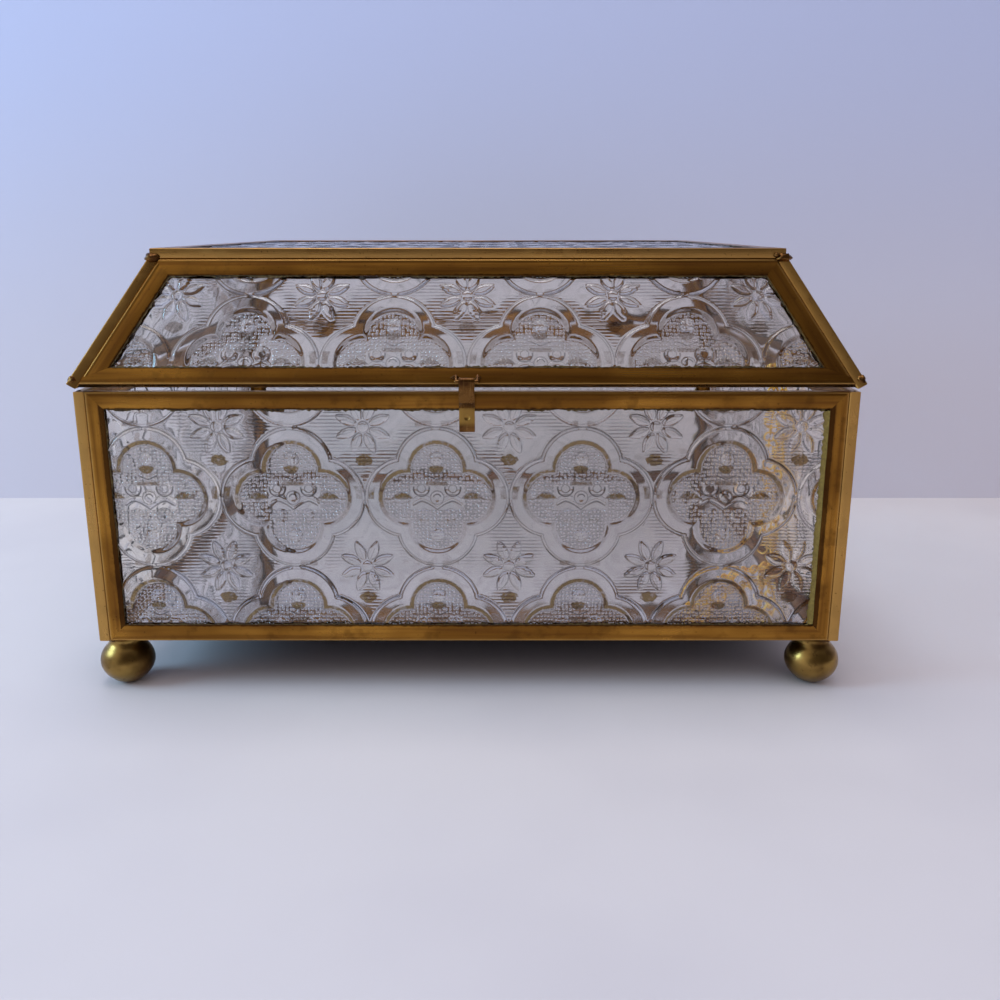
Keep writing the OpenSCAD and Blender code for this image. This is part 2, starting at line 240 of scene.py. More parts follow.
def polished_brass():
    """Turned brass of the feet: satin, with turning marks and brown clouds."""
    f = Finish("polished brass")
    place = f.node("TexCoord", output="Object")
    clouds = f.noise(place, 90.0, 3.0, 0.55).ramp(0.4, 0.66)
    level = f.node("VectorMath", {0: place, 1: (0.06, 0.06, 1.0)}, operation="MULTIPLY")
    turned = f.noise(level, 1500.0, 3.0)
    marks = f.noise(place, 420.0, 3.0, 0.6).ramp(0.58, 0.7)
    base = f.mix(clouds, colour(158, 126, 68), colour(98, 70, 36))
    marked = f.mix(marks * 0.5, base, colour(84, 58, 30))
    bump = f.node("Bump", {"Height": turned + clouds, "Strength": 0.3, "Distance": 0.00008})
    rough = clouds * 0.1 + marks * 0.1 + 0.28
    shader = f.node("BsdfPrincipled", {
        "Base Color": marked, "Metallic": 1.0, "Roughness": rough, "Normal": bump})
    return f.show(shader)


def chain_brass():
    """Bright thin links, a little browned."""
    f = Finish("chain brass")
    place = f.node("TexCoord", output="Object")
    clouds = f.noise(place, 320.0, 3.0, 0.6).ramp(0.42, 0.7)
    base = f.mix(clouds, colour(255, 210, 112), colour(200, 144, 62))
    bump = f.node("Bump", {"Height": clouds, "Strength": 0.3, "Distance": 0.00005})
    shader = f.node("BsdfPrincipled", {
        "Base Color": base, "Metallic": 1.0, "Roughness": clouds * 0.1 + 0.3, "Normal": bump})
    return f.show(shader)


def dark_brass():
    """Brown hinge and hasp brass, with brushed upright lines and a painted highlight in a band a little
    below the rim.
    """
    f = Finish("dark brass")
    place = f.node("TexCoord", output="Object")
    clouds = f.noise(place, 190.0, 4.0, 0.6).ramp(0.4, 0.66)
    upright = f.node("VectorMath", {0: place, 1: (1.0, 0.2, 0.05)}, operation="MULTIPLY")
    brushed = f.noise(upright, 2300.0, 2.0)
    height = f.node("SeparateXYZ", {"Vector": place}, output=2) * 1000
    # Painted highlight: a lighter band from 74.2 to 80.5 mm up
    painted_highlight_band = height.ramp(74.2, 76.0) * height.ramp(78.5, 80.5, 1.0, 0.0)
    base = f.mix(clouds, colour(118, 82, 42), colour(72, 44, 24))
    painted_highlight = f.mix(painted_highlight_band * 0.75, base, colour(178, 140, 70))
    bright = f.mix(brushed.ramp(0.52, 0.78) * 0.55, painted_highlight, colour(168, 126, 74))
    bump = f.node("Bump", {"Height": brushed, "Strength": 0.5, "Distance": 0.00014})
    shader = f.node("BsdfPrincipled", {
        "Base Color": bright, "Metallic": 1.0, "Roughness": clouds * 0.15 + 0.26, "Normal": bump})
    return f.show(shader)


def solder_brass():
    """Lumpy plated solder where the frames meet."""
    f = Finish("plated solder")
    place = f.node("TexCoord", output="Object")
    clouds = f.noise(place, 480.0, 4.0, 0.6).ramp(0.38, 0.66)
    base = f.mix(clouds, colour(128, 90, 46), colour(74, 47, 25))
    bump = f.node("Bump", {"Height": clouds, "Strength": 0.4, "Distance": 0.0001})
    shader = f.node("BsdfPrincipled", {
        "Base Color": base, "Metallic": 1.0, "Roughness": clouds * 0.15 + 0.34, "Normal": bump})
    return f.show(shader)


# What the pressed glass lets through, and the colours of its painted lines: dark for refraction shade,
# brown for refracted brass.
# Light passes with about the square root of such a colour, so the dark and brown lines are written deeper
# than they look.
CLEAR_GLASS = (0.99, 0.955, 0.9, 1.0)
DARK_LINE = (0.15, 0.13, 0.12, 1.0)
BROWN_LINE = (0.16, 0.075, 0.012, 1.0)

# What a lamp's light keeps of its colour on its way through a face of the glass
LAMPLIGHT = (0.86, 0.865, 0.86, 1.0)


def pressed_glass():
    """Clear pressed glass, with painted dark and brown lines for the shade and the refracted brass that the
    steep sides of its relief show.
    """
    f = Finish("patterned glass")
    place = f.node("Attribute", attribute_name="pane_place", output=1)
    x = f.node("SeparateXYZ", {"Vector": place}, output=0)
    y = f.node("SeparateXYZ", {"Vector": place}, output=1)
    drawn = f.node("SeparateXYZ", {"Vector": place}, output=2)
    side = (x + PITCH / 2) % PITCH - PITCH / 2
    rise = (y + PITCH / 2) % PITCH - PITCH / 2
    u = abs(side)
    v = abs(rise)
    flower_x = abs(x % PITCH - PITCH / 2)
    flower_y = y % PITCH - PITCH / 2

    def away(across, offset, up, height):
        """Distance from a centre."""
        return ((across - offset) ** 2 + (up - height) ** 2).root()

    def stroke(distance, half_w):
        """A thin line where the distance is 0."""
        return abs(distance).ramp(half_w * 0.25, half_w, 1.0, 0.0)

    def under(value, limit):
        return value.ramp(limit - 0.2, limit + 0.2, 1.0, 0.0)

    def over(value, limit):
        return value.ramp(limit - 0.2, limit + 0.2)

    uneven = f.noise(place, 0.16, 2.0).ramp(0.36, 0.62)
    mottled = f.noise(place, 1.1, 2.0).ramp(0.3, 0.6)
    patchy = f.noise(place, 0.07, 1.0).ramp(0.46, 0.6)
    # Painted shade: the lines are drawn stronger in the upper part of each medallion, where the relief
    # bends light from above
    painted_shade_upper_weight = rise.ramp(-8.0, 3.0, 0.3, 1.0)

    # Outlines of a medallion and the grounds inside and outside it
    inner = away(u, INNER_LOBE, v, 0.0).least(away(u, 0.0, v, INNER_LOBE)).least(u.most(v) + 3.3)
    outer = away(u, OUTER_LOBE, v, 0.0).least(away(u, 0.0, v, OUTER_LOBE))
    within = under(inner, 6.6)
    beyond = over(outer, 11.2)
    outlines = (stroke(outer - 10.95, 0.3) * (uneven * 0.4 + 0.6)).most(
        stroke(outer - 10.2, 0.24) * 0.5).most(stroke(inner - 6.5, 0.26) * 0.6 * painted_shade_upper_weight)
    arc = stroke(inner - 7.4, 0.95) * rise.ramp(-9.0, 5.0, 0.25, 1.0) * (uneven * 0.4 + 0.9)

    # Figures inside: scrolls, a bead in the middle, a wavy band, a vee, discs, leaves and a cup
    bead = away(side, 0.0, rise, 0.0)
    scroll = away(u, 4.2, rise, 2.5)
    wave = -1.0 - ((1 - u / 4.1).most(0.0) ** 1.5) * 2.3 - (((u - 4.1) / 2.5).most(0.0) ** 1.5) * 1.3
    leaf = 1.5 - ((u - 9.4) / 2.7) ** 2 * 1.5
    on_leaf = over(rise, -0.3) * under(rise - leaf, -0.1)
    cup = under(away(side, -0.2, rise, 8.6), 2.1) * under(rise + (side + 0.2) ** 2 * 0.12, 8.8)
    disc = away(u, 0.0, v, 10.5)
    figures = (stroke(scroll - 2.1, 0.34) * under(rise, 3.0)).most(
        stroke(scroll - 1.1, 0.26) * under(rise, 3.6) * 0.6).most(
        stroke(bead - 1.8, 0.28) * 0.7).most(
        stroke(bead - 1.0, 0.28) * over(rise, 0.2)).most(
        stroke(rise - wave, 0.4) * under(u, 6.5)).most(
        stroke(rise - wave - 1.9, 0.26) * over(u, 1.6) * under(u, 6.3) * 0.6).most(
        stroke(rise - 4.9 - u * 0.45, 0.3) * under(u, 2.7) * 0.9).most(
        stroke(away(u, 3.6, rise, -5.0) - 1.9, 0.28) * over(rise, -5.6) * 0.5).most(
        stroke(rise + 7.2 + u * 1.3, 0.5) * under(u, 0.8)).most(
        stroke(disc - 1.8, 0.26) * 0.45).most(
        stroke(rise - leaf, 0.28) * over(rise, -0.4) * 0.6) * within
    band = stroke(rise - 3.85, 0.9) * under(u, 2.9)
    hollows = (cup.most(on_leaf * 0.9).most(band * 0.8)) * within

    # Daisies between the medallions, with hearts under them, wedges where medallions meet, and tents
    angle = flower_y.turn_from(flower_x)
    reach = away(flower_x, 0.0, flower_y, 0.0)
    folded = angle % (math.pi / 4) - math.pi / 8
    out = reach * folded.cosine()
    aside = abs(reach * folded.sine())
    share = ((out - PETAL_START) / PETAL_L).most(0.0).least(1.0)
    petal_w = ((share ** 0.8 * math.pi).sine().most(0.0) ** 0.75) * PETAL_HALF_W
    on_petal = over(out, PETAL_START) * under(out, 7.7)
    petals = (stroke(aside - petal_w, 0.32) * on_petal).most(
        stroke(aside, 0.22) * over(out, 2.4) * under(out, 5.6) * 0.5).most(stroke(reach - 1.5, 0.28) * 0.7)
    heart_reach = away(flower_x, 0.0, flower_y * 1.5, -13.5)
    heart = under(heart_reach + f.noise(place, 0.9, 1.0) * 1.6, 3.1)
    wedge = under(abs(flower_x - 2.0), 1.1) * over(rise, -0.3) * under(rise, 3.2) * over(outer, 8.6)
    lower_wedge = under(abs(u - 3.4), 2.2) * under(abs(flower_y - 0.9), 0.8) * over(outer, 8.8)
    tent = stroke(rise * 0.48 + 1.39 + flower_x, 0.26) * over(rise, -8.0) * under(rise, -2.6)
    between = (petals.most(tent * 0.7)) * beyond
    # Painted brown: refracted brass and shade in the cup, leaves, band, upper arcs, hearts and wedges
    brown = hollows.most(arc).most(heart * beyond).most((wedge.most(lower_wedge * 0.7)) * uneven * 0.9)

    cells = f.node("TexVoronoi", {"Vector": place, "Scale": 1.0, "Randomness": 0.4},
                   voronoi_dimensions="2D")
    field = within * (over(u, 7.2).most(over(v, 3.4)))
    stipple = field * (1 - hollows) * over(disc, 1.8)
    ruled = over(outer, 11.3)
    dots = cells.ramp(0.14, 0.44, 1.0, 0.0)
    lines = (y * (2 * math.pi / 0.95)).sine() * 0.5 + 0.5
    height = (dots * field * 0.8 + lines * ruled * patchy * 0.12 + f.noise(place, 0.09, 2.0) * 0.8) * drawn
    bump = f.node("Bump", {"Height": height, "Strength": 1.0, "Distance": 0.00025})
    gaps = cells.ramp(0.26, 0.42) * stipple * (uneven * 0.4 + 0.6)
    rules = lines.ramp(0.5, 0.9) * ruled * over(reach, 4.5) * (1 - heart)
    # Painted refraction shade: dark lines at the outlines, figures, petals and ruled ground, and between
    # the dots
    painted_dark_lines = (gaps * 0.42).most(outlines * 0.75).most(rules * patchy * 0.6).most(
        (figures * (painted_shade_upper_weight * 0.6 + 0.4)).most(between * (uneven * 0.6 + 0.25)) * 0.85)
    with_painted_dark_lines = f.mix((painted_dark_lines * 1.3).least(1.0) * drawn, CLEAR_GLASS, DARK_LINE)
    # The glass's own colour with its painted dark lines and painted brown
    tint = f.mix((brown * (mottled * 0.4 + 0.8)).least(1.0) * drawn, with_painted_dark_lines, BROWN_LINE)
    shader = f.node("BsdfPrincipled", {
        "Base Color": tint, "Roughness": 0.05, "IOR": 1.5, "Transmission Weight": 1.0, "Normal": bump})
    lamplit = f.node("LightPath", output="Is Shadow Ray")
    shade = f.node("BsdfTransparent", {"Color": LAMPLIGHT})
    return f.show(f.node("MixShader", {0: lamplit, 1: shader, 2: shade}))


def mirror_glass():
    """The mirror that the box has for a floor, a little clouded, with dull paint on its back."""
    f = Finish("floor mirror")
    place = f.node("TexCoord", output="Object")
    clouds = f.noise(place, 35.0, 4.0, 0.6).ramp(0.4, 0.7)
    specks = f.noise(place, 700.0, 2.0).ramp(0.66, 0.74)
    facing = f.node("NewGeometry", output="Normal")
    back = f.node("SeparateXYZ", {"Vector": facing}, output=2).ramp(-0.6, -0.4, 1.0, 0.0)
    silver = f.mix(clouds * 0.5, (0.84, 0.84, 0.85, 1.0), (0.74, 0.74, 0.75, 1.0))
    paint = f.mix(specks, colour(46, 36, 38), colour(34, 27, 30))
    shader = f.node("BsdfPrincipled", {
        "Base Color": f.mix(back, silver, paint), "Metallic": 1.0 - back,
        "Roughness": clouds * 0.05 + specks * 0.2 + back * 0.5 + 0.03})
    return f.show(shader)


aged = aged_brass()
polished = polished_brass()
dark = dark_brass()
solder = solder_brass()
glass = pressed_glass()
links = chain_brass()
dirt = seam_dirt()
mirror = mirror_glass()


# Places of the panes: x along the edge, y up the pane, outer face at z = 0


def on_side(side, out, height, lean=0.0):
    return (Matrix.Rotation(math.radians(SIDES[side]), 4, "Z")
            @ Matrix.Translation((0, -out, height))
            @ Matrix.Rotation(math.radians(90) - lean, 4, "X"))


def on_wall(side):
    return on_side(side, BASE_D / 2 if side in ("front", "back") else BASE_W / 2, FOOT_H)


def on_slope(side):
    return on_side(side, EDGE_D if side in ("front", "back") else EDGE_W, EDGE_Z, SLOPE)


def lying(height, half_d):
    return Matrix.Translation((0, -half_d, height + PANE_T))


ON_TOP = lying(TOP_Z - PANE_T, TOP_D)
ON_FLOOR = lying(FOOT_H, BASE_D / 2 - PANE_T)


# Outlines of the panes, as half the width at the lower edge, the height and the lean-in of the ends


def wall_outline(side):
    return (BASE_W / 2 - PANE_T if side in ("front", "back") else BASE_D / 2), WALL_H, 0.0


def slope_outline(side):
    if side in ("front", "back"):
        return EDGE_W - HIP_ROOM, SLOPE_L, math.sin(SLOPE)
    return EDGE_D, SLOPE_L, math.sin(SLOPE)


TOP_OUTLINE = (TOP_W, 2 * TOP_D, 0.0)
FLOOR_OUTLINE = (BASE_W / 2 - PANE_T, BASE_D - 2 * PANE_T, 0.0)


def finished(name, mesh_maker, material, body, nodes):
    """Makes a bmesh into a piece of the box, in metres, that rides on a body and stands for nodes."""
    mesh = bpy.data.meshes.new(name)
    mesh_maker.to_mesh(mesh)
    mesh_maker.free()
    mesh.materials.append(material)
    piece = bpy.data.objects.new(name, mesh)
    bpy.context.scene.collection.objects.link(piece)
    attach(piece, body)
    if nodes:
        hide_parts(*nodes)
    return piece


# The pressed pattern


def step(value, low, high):
    """A smooth step from 0 to 1."""
    t = np.clip((value - low) / (high - low), 0, 1)
    return t * t * (3 - 2 * t)


def medallion_edge(u, v, offset, radius):
    """How far outside a four-lobed outline a point is, in millimetres, and negative inside."""
    lobes = [np.hypot(u - a, v - b) for a, b in ((offset, 0), (-offset, 0), (0, offset), (0, -offset))]
    return np.minimum.reduce(lobes) - radius


def slant(value, low, high):
    """A straight rise from 0 to 1."""
    return np.clip((value - low) / (high - low), 0, 1)


def dome(reach, radius):
    """A round rise of height 1."""
    return np.sqrt(np.clip(1 - (reach / radius) ** 2, 0, 1))


def medallion_figures(u, v):
    """How high the figures stand on the dotted field of a medallion."""
    across = np.abs(u)
    wave = np.where(across < 4.1, -1.0 - 2.3 * np.clip(1 - across / 4.1, 0, 1) ** 1.5,
                    -1.0 - 1.3 * np.clip((across - 4.1) / 2.5, 0, 2) ** 1.5)
    height = 0.4 * dome(np.hypot(u, v), 1.7)
    height = np.maximum(height, 0.3 * slant(2.1 - np.hypot(across - 4.2, v - 2.5), 0.0, 0.8))
    height = np.maximum(height, 0.45 * dome(np.hypot(u, np.abs(v) - 10.5), 1.8))
    height = np.maximum(height, 0.35 * dome(np.hypot(across - 13.0, v - 0.2), 1.6))
    height = np.maximum(height, 0.4 * slant(1.4 - np.hypot((across - 9.4) / 1.7, v - 0.1), 0.0, 0.5))
    height = np.maximum(height, 0.3 * slant(1.0 - np.abs(v - wave - 1.0), 0.0, 0.5) * (across < 6.5))
    height = np.maximum(height, 0.25 * slant(1.9 - np.hypot(across - 3.6, v + 5.0), 0.0, 0.7))
    return height


def daisy(p, q):
    """How high the petals of an eight-petalled flower stand."""
    height = 0.4 * dome(np.hypot(p, q), 1.4)
    for k in range(8):
        angle = math.radians(22.5 + 45 * k)
        out = p * math.cos(angle) + q * math.sin(angle)
        aside = np.abs(q * math.cos(angle) - p * math.sin(angle))
        share = np.clip((out - PETAL_START) / PETAL_L, 0, 1)
        petal_w = PETAL_HALF_W * np.sin(math.pi * share ** 0.8) ** 0.75
        on_petal = (out > PETAL_START) * (out < PETAL_START + PETAL_L)
        height = np.maximum(height, 0.4 * slant(petal_w - aside, 0.0, 0.45) * on_petal)
    return height


def pressed_pattern(x, y):
    """Height of the relief on a lattice of medallions with daisies between them."""
    u = (x + PITCH / 2) % PITCH - PITCH / 2
    v = (y + PITCH / 2) % PITCH - PITCH / 2
    p = x % PITCH - PITCH / 2
    q = y % PITCH - PITCH / 2
    outer = medallion_edge(u, v, OUTER_LOBE, 10.9)
    inner = np.minimum(medallion_edge(u, v, INNER_LOBE, 7.3), np.maximum(np.abs(u), np.abs(v)) - 4.0)

    # The dotted field lies low, and a bevel rises from it to the smooth band round it
    height = 0.5 * slant(inner, -0.6, 0.6) * slant(-outer, -0.1, 0.4)
    height = np.maximum(height, medallion_figures(u, v) * step(-inner, 0.7, 1.0))
    height = np.maximum(height, daisy(p, q) * step(outer, 0.0, 0.3))
    height = np.maximum(height, 0.5 * slant(2.2 - np.abs(p) - 1.2 * np.abs(v), 0.0, 1.2))
    return np.maximum(height, 0.45 * slant(1.9 - np.abs(u) - 1.2 * np.abs(q), 0.0, 1.0))


def pane(name, place, outline, phase, body, drawn, spacing=0.385):
    """A sheet of pressed glass in its frame: a relief on a grid in front, plain behind."""
    half_w, height, lean = outline
    half_w = half_w - CAME_WALL
    height = height - 2 * CAME_WALL
    across = max(2, round(2 * half_w / spacing))
    up = max(2, round(height / spacing))
    bm = bmesh.new()
    bmesh.ops.create_grid(bm, x_segments=across, y_segments=up, size=0.5,
                          matrix=Matrix.Translation((0, CAME_WALL + height / 2, 0))
                          @ Matrix.Diagonal((2 * half_w, height, 1, 1)))
    if lean:
        for end in (-1, 1):
            normal = Vector((end, lean, 0)).normalized()
            corner = Vector((end * (half_w + CAME_WALL), 0, 0)) - normal * CAME_WALL
            everything = bm.verts[:] + bm.edges[:] + bm.faces[:]
            bmesh.ops.bisect_plane(bm, geom=everything, plane_co=corner, plane_no=normal, clear_outer=True)
    flat = np.array([v.co[:2] for v in bm.verts])
    relief = pressed_pattern(flat[:, 0] - phase[0], flat[:, 1] - phase[1])
    front = -CAME_WALL - GROUND_DEPTH
    for vertex, rise in zip(bm.verts, relief):
        vertex.co.z = front + rise

    # The edge goes straight back, and the flat back closes the sheet
    rim = [e for e in bm.edges if e.is_boundary]
    for edge in rim:
        edge.smooth = False
    grown = bmesh.ops.extrude_edge_only(bm, edges=rim)["geom"]
    for vertex in grown:
        if isinstance(vertex, bmesh.types.BMVert):
            vertex.co.z = -CAME_WALL - GLASS_T
    back = [e for e in grown if isinstance(e, bmesh.types.BMEdge) and e.is_boundary]
    bmesh.ops.holes_fill(bm, edges=back, sides=0)
    for edge in back:
        edge.smooth = False
    bmesh.ops.recalc_face_normals(bm, faces=bm.faces[:])
    for face in bm.faces:
        face.smooth = True
    places = np.array([v.co[:] for v in bm.verts])
    bmesh.ops.transform(bm, matrix=METRES @ place, verts=bm.verts[:])
    piece = finished(name + "_pressed", bm, glass, body, (name,))
    mesh = piece.data

    # The place in the pattern, and the drawn strength, which is 0 on the plain back
    spots = np.zeros((len(mesh.vertices), 3))
    spots[:, :2] = places[:, :2] - np.array(phase)
    spots[:, 2] = drawn * (places[:, 2] > front - 0.1)
    mesh.attributes.new("pane_place", "FLOAT_VECTOR", "POINT").data.foreach_set("vector", spots.ravel())
    return piece


# Lattice phase of each pane, from its middle and lower edge to a medallion's centre
BASE_PHASE = {"front": (-8.2, 40.9), "right": (3.0, 40.0), "back": (6.0, 41.5), "left": (-4.0, 39.5)}
LID_PHASE = {"front": (19.2, 6.0), "right": (8.0, 6.5), "back": (-5.0, 5.5), "left": (-11.0, 7.0)}

TOP_PHASE = (4.0, 70.0)

# How strongly the painted dark and brown lines are drawn on each wall, on the lid as a share of that, and
# on its top
DRAWN = {"front": 1.0, "right": 0.8, "back": 0.4, "left": 0.8}
LID_DRAWN, TOP_DRAWN = 0.75, 0.6
for side in SIDES:
    pane("base_%s_glass" % side, on_wall(side), wall_outline(side), BASE_PHASE[side], "base", DRAWN[side])
    pane("lid_%s_glass" % side, on_slope(side), slope_outline(side), LID_PHASE[side], "lid",
         LID_DRAWN * DRAWN[side])
pane("lid_top_glass", ON_TOP, TOP_OUTLINE, TOP_PHASE, "lid", TOP_DRAWN, spacing=0.6)


# Brass strips

# An edge longer than this runs along its strip
LONG_EDGE = 12
FOLD_R, LIP_BEVEL = 0.5, 0.12

# Cuts along a strip, for its dents, and shares of its width at which it is cut for its crown
RUN_CUTS = 26
CROWN_SHARES = (0.25, 0.5, 0.75)


def merged_copy(node):
    """A CAD node's mesh with its triangles joined up, in metres."""
    bm = bmesh.new()
    bm.from_mesh(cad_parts[node].data)
    bmesh.ops.remove_doubles(bm, verts=bm.verts[:], dist=1e-6)
    bmesh.ops.dissolve_limit(bm, angle_limit=math.radians(0.5), verts=bm.verts[:], edges=bm.edges[:])
    return bm


def across_strip(spot, outline, rails):
    """Distance of a point from the strip's outer edge, in a pane's own plane."""
    half_w, height, lean = outline
    if rails:
        return min(spot.y, height - spot.y)
    return (half_w - abs(spot.x) - lean * spot.y) / math.sqrt(1 + lean * lean)


def crown_cuts(outline, rails, depth):
    """Planes along a frame's two strips, at a distance from their outer edges."""
    half_w, height, lean = outline
    if rails:
        return [(Vector((0, spot, 0)), Vector((0, 1, 0))) for spot in (depth, height - depth)]
    cuts = []
    for end in (-1, 1):
        normal = Vector((end, lean, 0)).normalized()
        cuts.append((Vector((end * half_w, 0, 0)) - normal * depth, normal))
    return cuts


def strip_piece(node, place, outline, rails, body, material):
    """A frame's two strips: rounded folds, edges cut by hand, and the strip's own directions."""
    to_pane = (METRES @ place).inverted()
    bm = merged_copy(node)
    bmesh.ops.transform(bm, matrix=to_pane, verts=bm.verts[:])
    folds = []
    lips = []
    for edge in bm.edges:
        if len(edge.link_faces) != 2 or edge.calc_length() < LONG_EDGE:
            continue
        if edge.calc_face_angle_signed(0) < math.radians(25):
            continue
        spots = [across_strip(v.co, outline, rails) for v in edge.verts]
        if max(spots) < 0.05:
            folds.append(edge)
        elif min(spots) > CAME_W - 0.1 and min(v.co.z for v in edge.verts) > -0.1:
            lips.append(edge)
    bmesh.ops.bevel(bm, geom=folds, offset=FOLD_R, offset_type="OFFSET", segments=4, profile=0.5,
                    affect="EDGES", material=-1, clamp_overlap=True)
    lips = [e for e in lips if e.is_valid]
    bmesh.ops.bevel(bm, geom=lips, offset=LIP_BEVEL, offset_type="OFFSET", segments=1, profile=0.5,
                    affect="EDGES", material=-1, clamp_overlap=True)
    runs = [e for e in bm.edges if e.calc_length() > LONG_EDGE]
    bmesh.ops.subdivide_edges(bm, edges=runs, cuts=RUN_CUTS, use_grid_fill=True)
    for share in CROWN_SHARES:
        for line_at, normal in crown_cuts(outline, rails, share * CAME_W):
            bmesh.ops.bisect_plane(bm, geom=bm.verts[:] + bm.edges[:] + bm.faces[:],
                                   plane_co=line_at, plane_no=normal)

    # The face sinks a little towards both its edges, is dented, and its inner edge wavers
    middle = CAME_W / 2
    for vertex in bm.verts:
        spot = place @ vertex.co
        dent = noise.noise(spot * 0.045 + Vector((3.1, 0, 0)))
        ripple = noise.noise(spot * 0.17 + Vector((0, 7.7, 0)))
        across = across_strip(vertex.co, outline, rails)
        if vertex.co.z > -0.6 and across > 0.3:
            vertex.co.z -= 0.03 + 0.05 * dent + 0.03 * ripple + 0.16 * ((across - middle) / middle) ** 2
        if across > CAME_W - 0.3 and vertex.co.z > -1:
            inward = 0.16 * dent + 0.1 * ripple
            if rails:
                vertex.co.y += inward if vertex.co.y < outline[1] / 2 else -inward
            else:
                vertex.co.x -= inward if vertex.co.x > 0 else -inward
    for face in bm.faces:
        face.smooth = True
    for edge in bm.edges:
        edge.smooth = len(edge.link_faces) == 2 and edge.calc_face_angle(0) < math.radians(32)
    spots = [v.co.copy() for v in bm.verts]
    bmesh.ops.transform(bm, matrix=METRES @ place, verts=bm.verts[:])
    piece = finished(node + "_folded", bm, material, body, (node,))
    directions = np.array([
        [(s.x if rails else s.y), across_strip(s, outline, rails), s.z] for s in spots])

    # On the stiles of the walls the dark band along the glass reaches further over the brass, as painted
    # shade of the recess beside the glass
    if not rails and node.startswith("base"):
        directions[:, 1] += 1.2 * step(directions[:, 1], 2.9, 3.6)
    strip = piece.data.attributes.new("strip", "FLOAT_VECTOR", "POINT")
    strip.data.foreach_set("vector", directions.ravel())
    return piece


for side in SIDES:
    strip_piece("base_%s_rails" % side, on_wall(side), wall_outline(side), True, "base", aged)
    strip_piece("base_%s_stiles" % side, on_wall(side), wall_outline(side), False, "base", aged)
    strip_piece("lid_%s_rails" % side, on_slope(side), slope_outline(side), True, "lid", aged)
    strip_piece("lid_%s_stiles" % side, on_slope(side), slope_outline(side), False, "lid", aged)
strip_piece("mirror_long_cames", ON_FLOOR, FLOOR_OUTLINE, True, "base", aged)
strip_piece("mirror_short_cames", ON_FLOOR, FLOOR_OUTLINE, False, "base", aged)
strip_piece("lid_top_long_cames", ON_TOP, TOP_OUTLINE, True, "lid", aged)
strip_piece("lid_top_short_cames", ON_TOP, TOP_OUTLINE, False, "lid", aged)


# Small brass


def softened(node, body, material, bevel):
    """A piece as the CAD has it, with its hard edges taken off by a bevel in millimetres."""
    bm = merged_copy(node)
    if bevel:
        sharp = [e for e in bm.edges
                 if len(e.link_faces) == 2 and e.calc_face_angle(0) > math.radians(50)]
        bmesh.ops.bevel(bm, geom=sharp, offset=bevel * 0.001, offset_type="OFFSET", segments=2,
                        profile=0.5, affect="EDGES", material=-1, clamp_overlap=True)
    for face in bm.faces:
        face.smooth = True
    for edge in bm.edges:
        edge.smooth = len(edge.link_faces) == 2 and edge.calc_face_angle(0) < math.radians(35)
    return finished(node + "_finished", bm, material, body, (node,))


for end in ("left", "right"):
    softened("%s_hinge_base_leaf" % end, "base", dark, 0.08)
    softened("%s_hinge_pin" % end, "base", dark, 0.08)
    softened("%s_hinge_lid_leaf" % end, "lid", dark, 0.08)
softened("clasp_wire", "lid", dark, 0)
softened("hasp", "hasp", dark, 0.1)
softened("chain_base_post", "base", links, 0)
softened("chain_lid_post", "lid", links, 0)
for strand in ("chain_base_strand", "chain_lid_strand", "chain_slack"):
    softened(strand, strand, links, 0)


def foot(name, x_side, y_side):
    """A turned ball, a little pointed below, whose neck flares out under the floor."""
    neck_r, flare = 4.3, 0.8
    squash = BALL_H / 2 / BALL_R
    centre_z = squash * math.sqrt(BALL_R ** 2 - FLAT_R ** 2)
    profile = [Vector((0, 0, 0)), Vector((FLAT_R - 0.3, 0, 0)), Vector((FLAT_R, 0, 0.1))]
    for k in range(1, 27):
        angle = math.radians(-74.5 + k * 4.6)
        reach = BALL_R * (1 - 0.035 * math.sin(2 * angle) ** 2 * (angle < 0))
        profile.append(Vector((reach * math.cos(angle), 0, centre_z + squash * reach * math.sin(angle))))
    waist = profile[-1]
    for k in range(1, 9):
        t = k / 8
        profile.append(Vector((
            neck_r + (waist.x - neck_r) * (1 - t) ** 2.2 + flare * t ** 4,
            0,
            waist.z + (FOOT_H - waist.z) * t)))
    profile.append(Vector((0, 0, FOOT_H)))
    bm = bmesh.new()
    verts = [bm.verts.new(p) for p in profile]
    edges = [bm.edges.new(pair) for pair in zip(verts, verts[1:])]
    bmesh.ops.spin(bm, geom=verts + edges, cent=(0, 0, 0), axis=(0, 0, 1), angle=2 * math.pi,
                   steps=48, use_merge=True)
    bmesh.ops.remove_doubles(bm, verts=bm.verts[:], dist=1e-4)
    bmesh.ops.recalc_face_normals(bm, faces=bm.faces[:])
    for vertex in bm.verts:
        if 1.5 < vertex.co.z < FOOT_H - 0.1:
            dent = noise.noise(vertex.co * 0.16 + Vector((9.3 * x_side, 4.7 * y_side, 0)))
            vertex.co.xy *= 0.99 + 0.02 * dent
    for face in bm.faces:
        face.smooth = True
    for edge in bm.edges:
        edge.smooth = edge.calc_face_angle(0) < math.radians(40)
    place = Matrix.Translation((x_side * (BASE_W / 2 - FOOT_INSET), y_side * (BASE_D / 2 - FOOT_INSET), 0))
    bmesh.ops.transform(bm, matrix=METRES @ place, verts=bm.verts[:])
    return finished(name + "_turned", bm, polished, "base", (name,))


foot("front_left_foot", -1, -1)
foot("front_right_foot", 1, -1)
foot("back_left_foot", -1, 1)
foot("back_right_foot", 1, 1)


# The line of dirt: its steps along a strip, its least, usual and greatest width, how much wider it is
# at the right stile of the front, how deep it starts behind the frame's face, and its thickness
SEAM_STEP = 0.45
SEAM_LEAST, SEAM_W, SEAM_MOST, SEAM_EXTRA = 0.36, 0.62, 1.3, 1.1
SEAM_DEPTH, SEAM_T = 0.46, 0.1


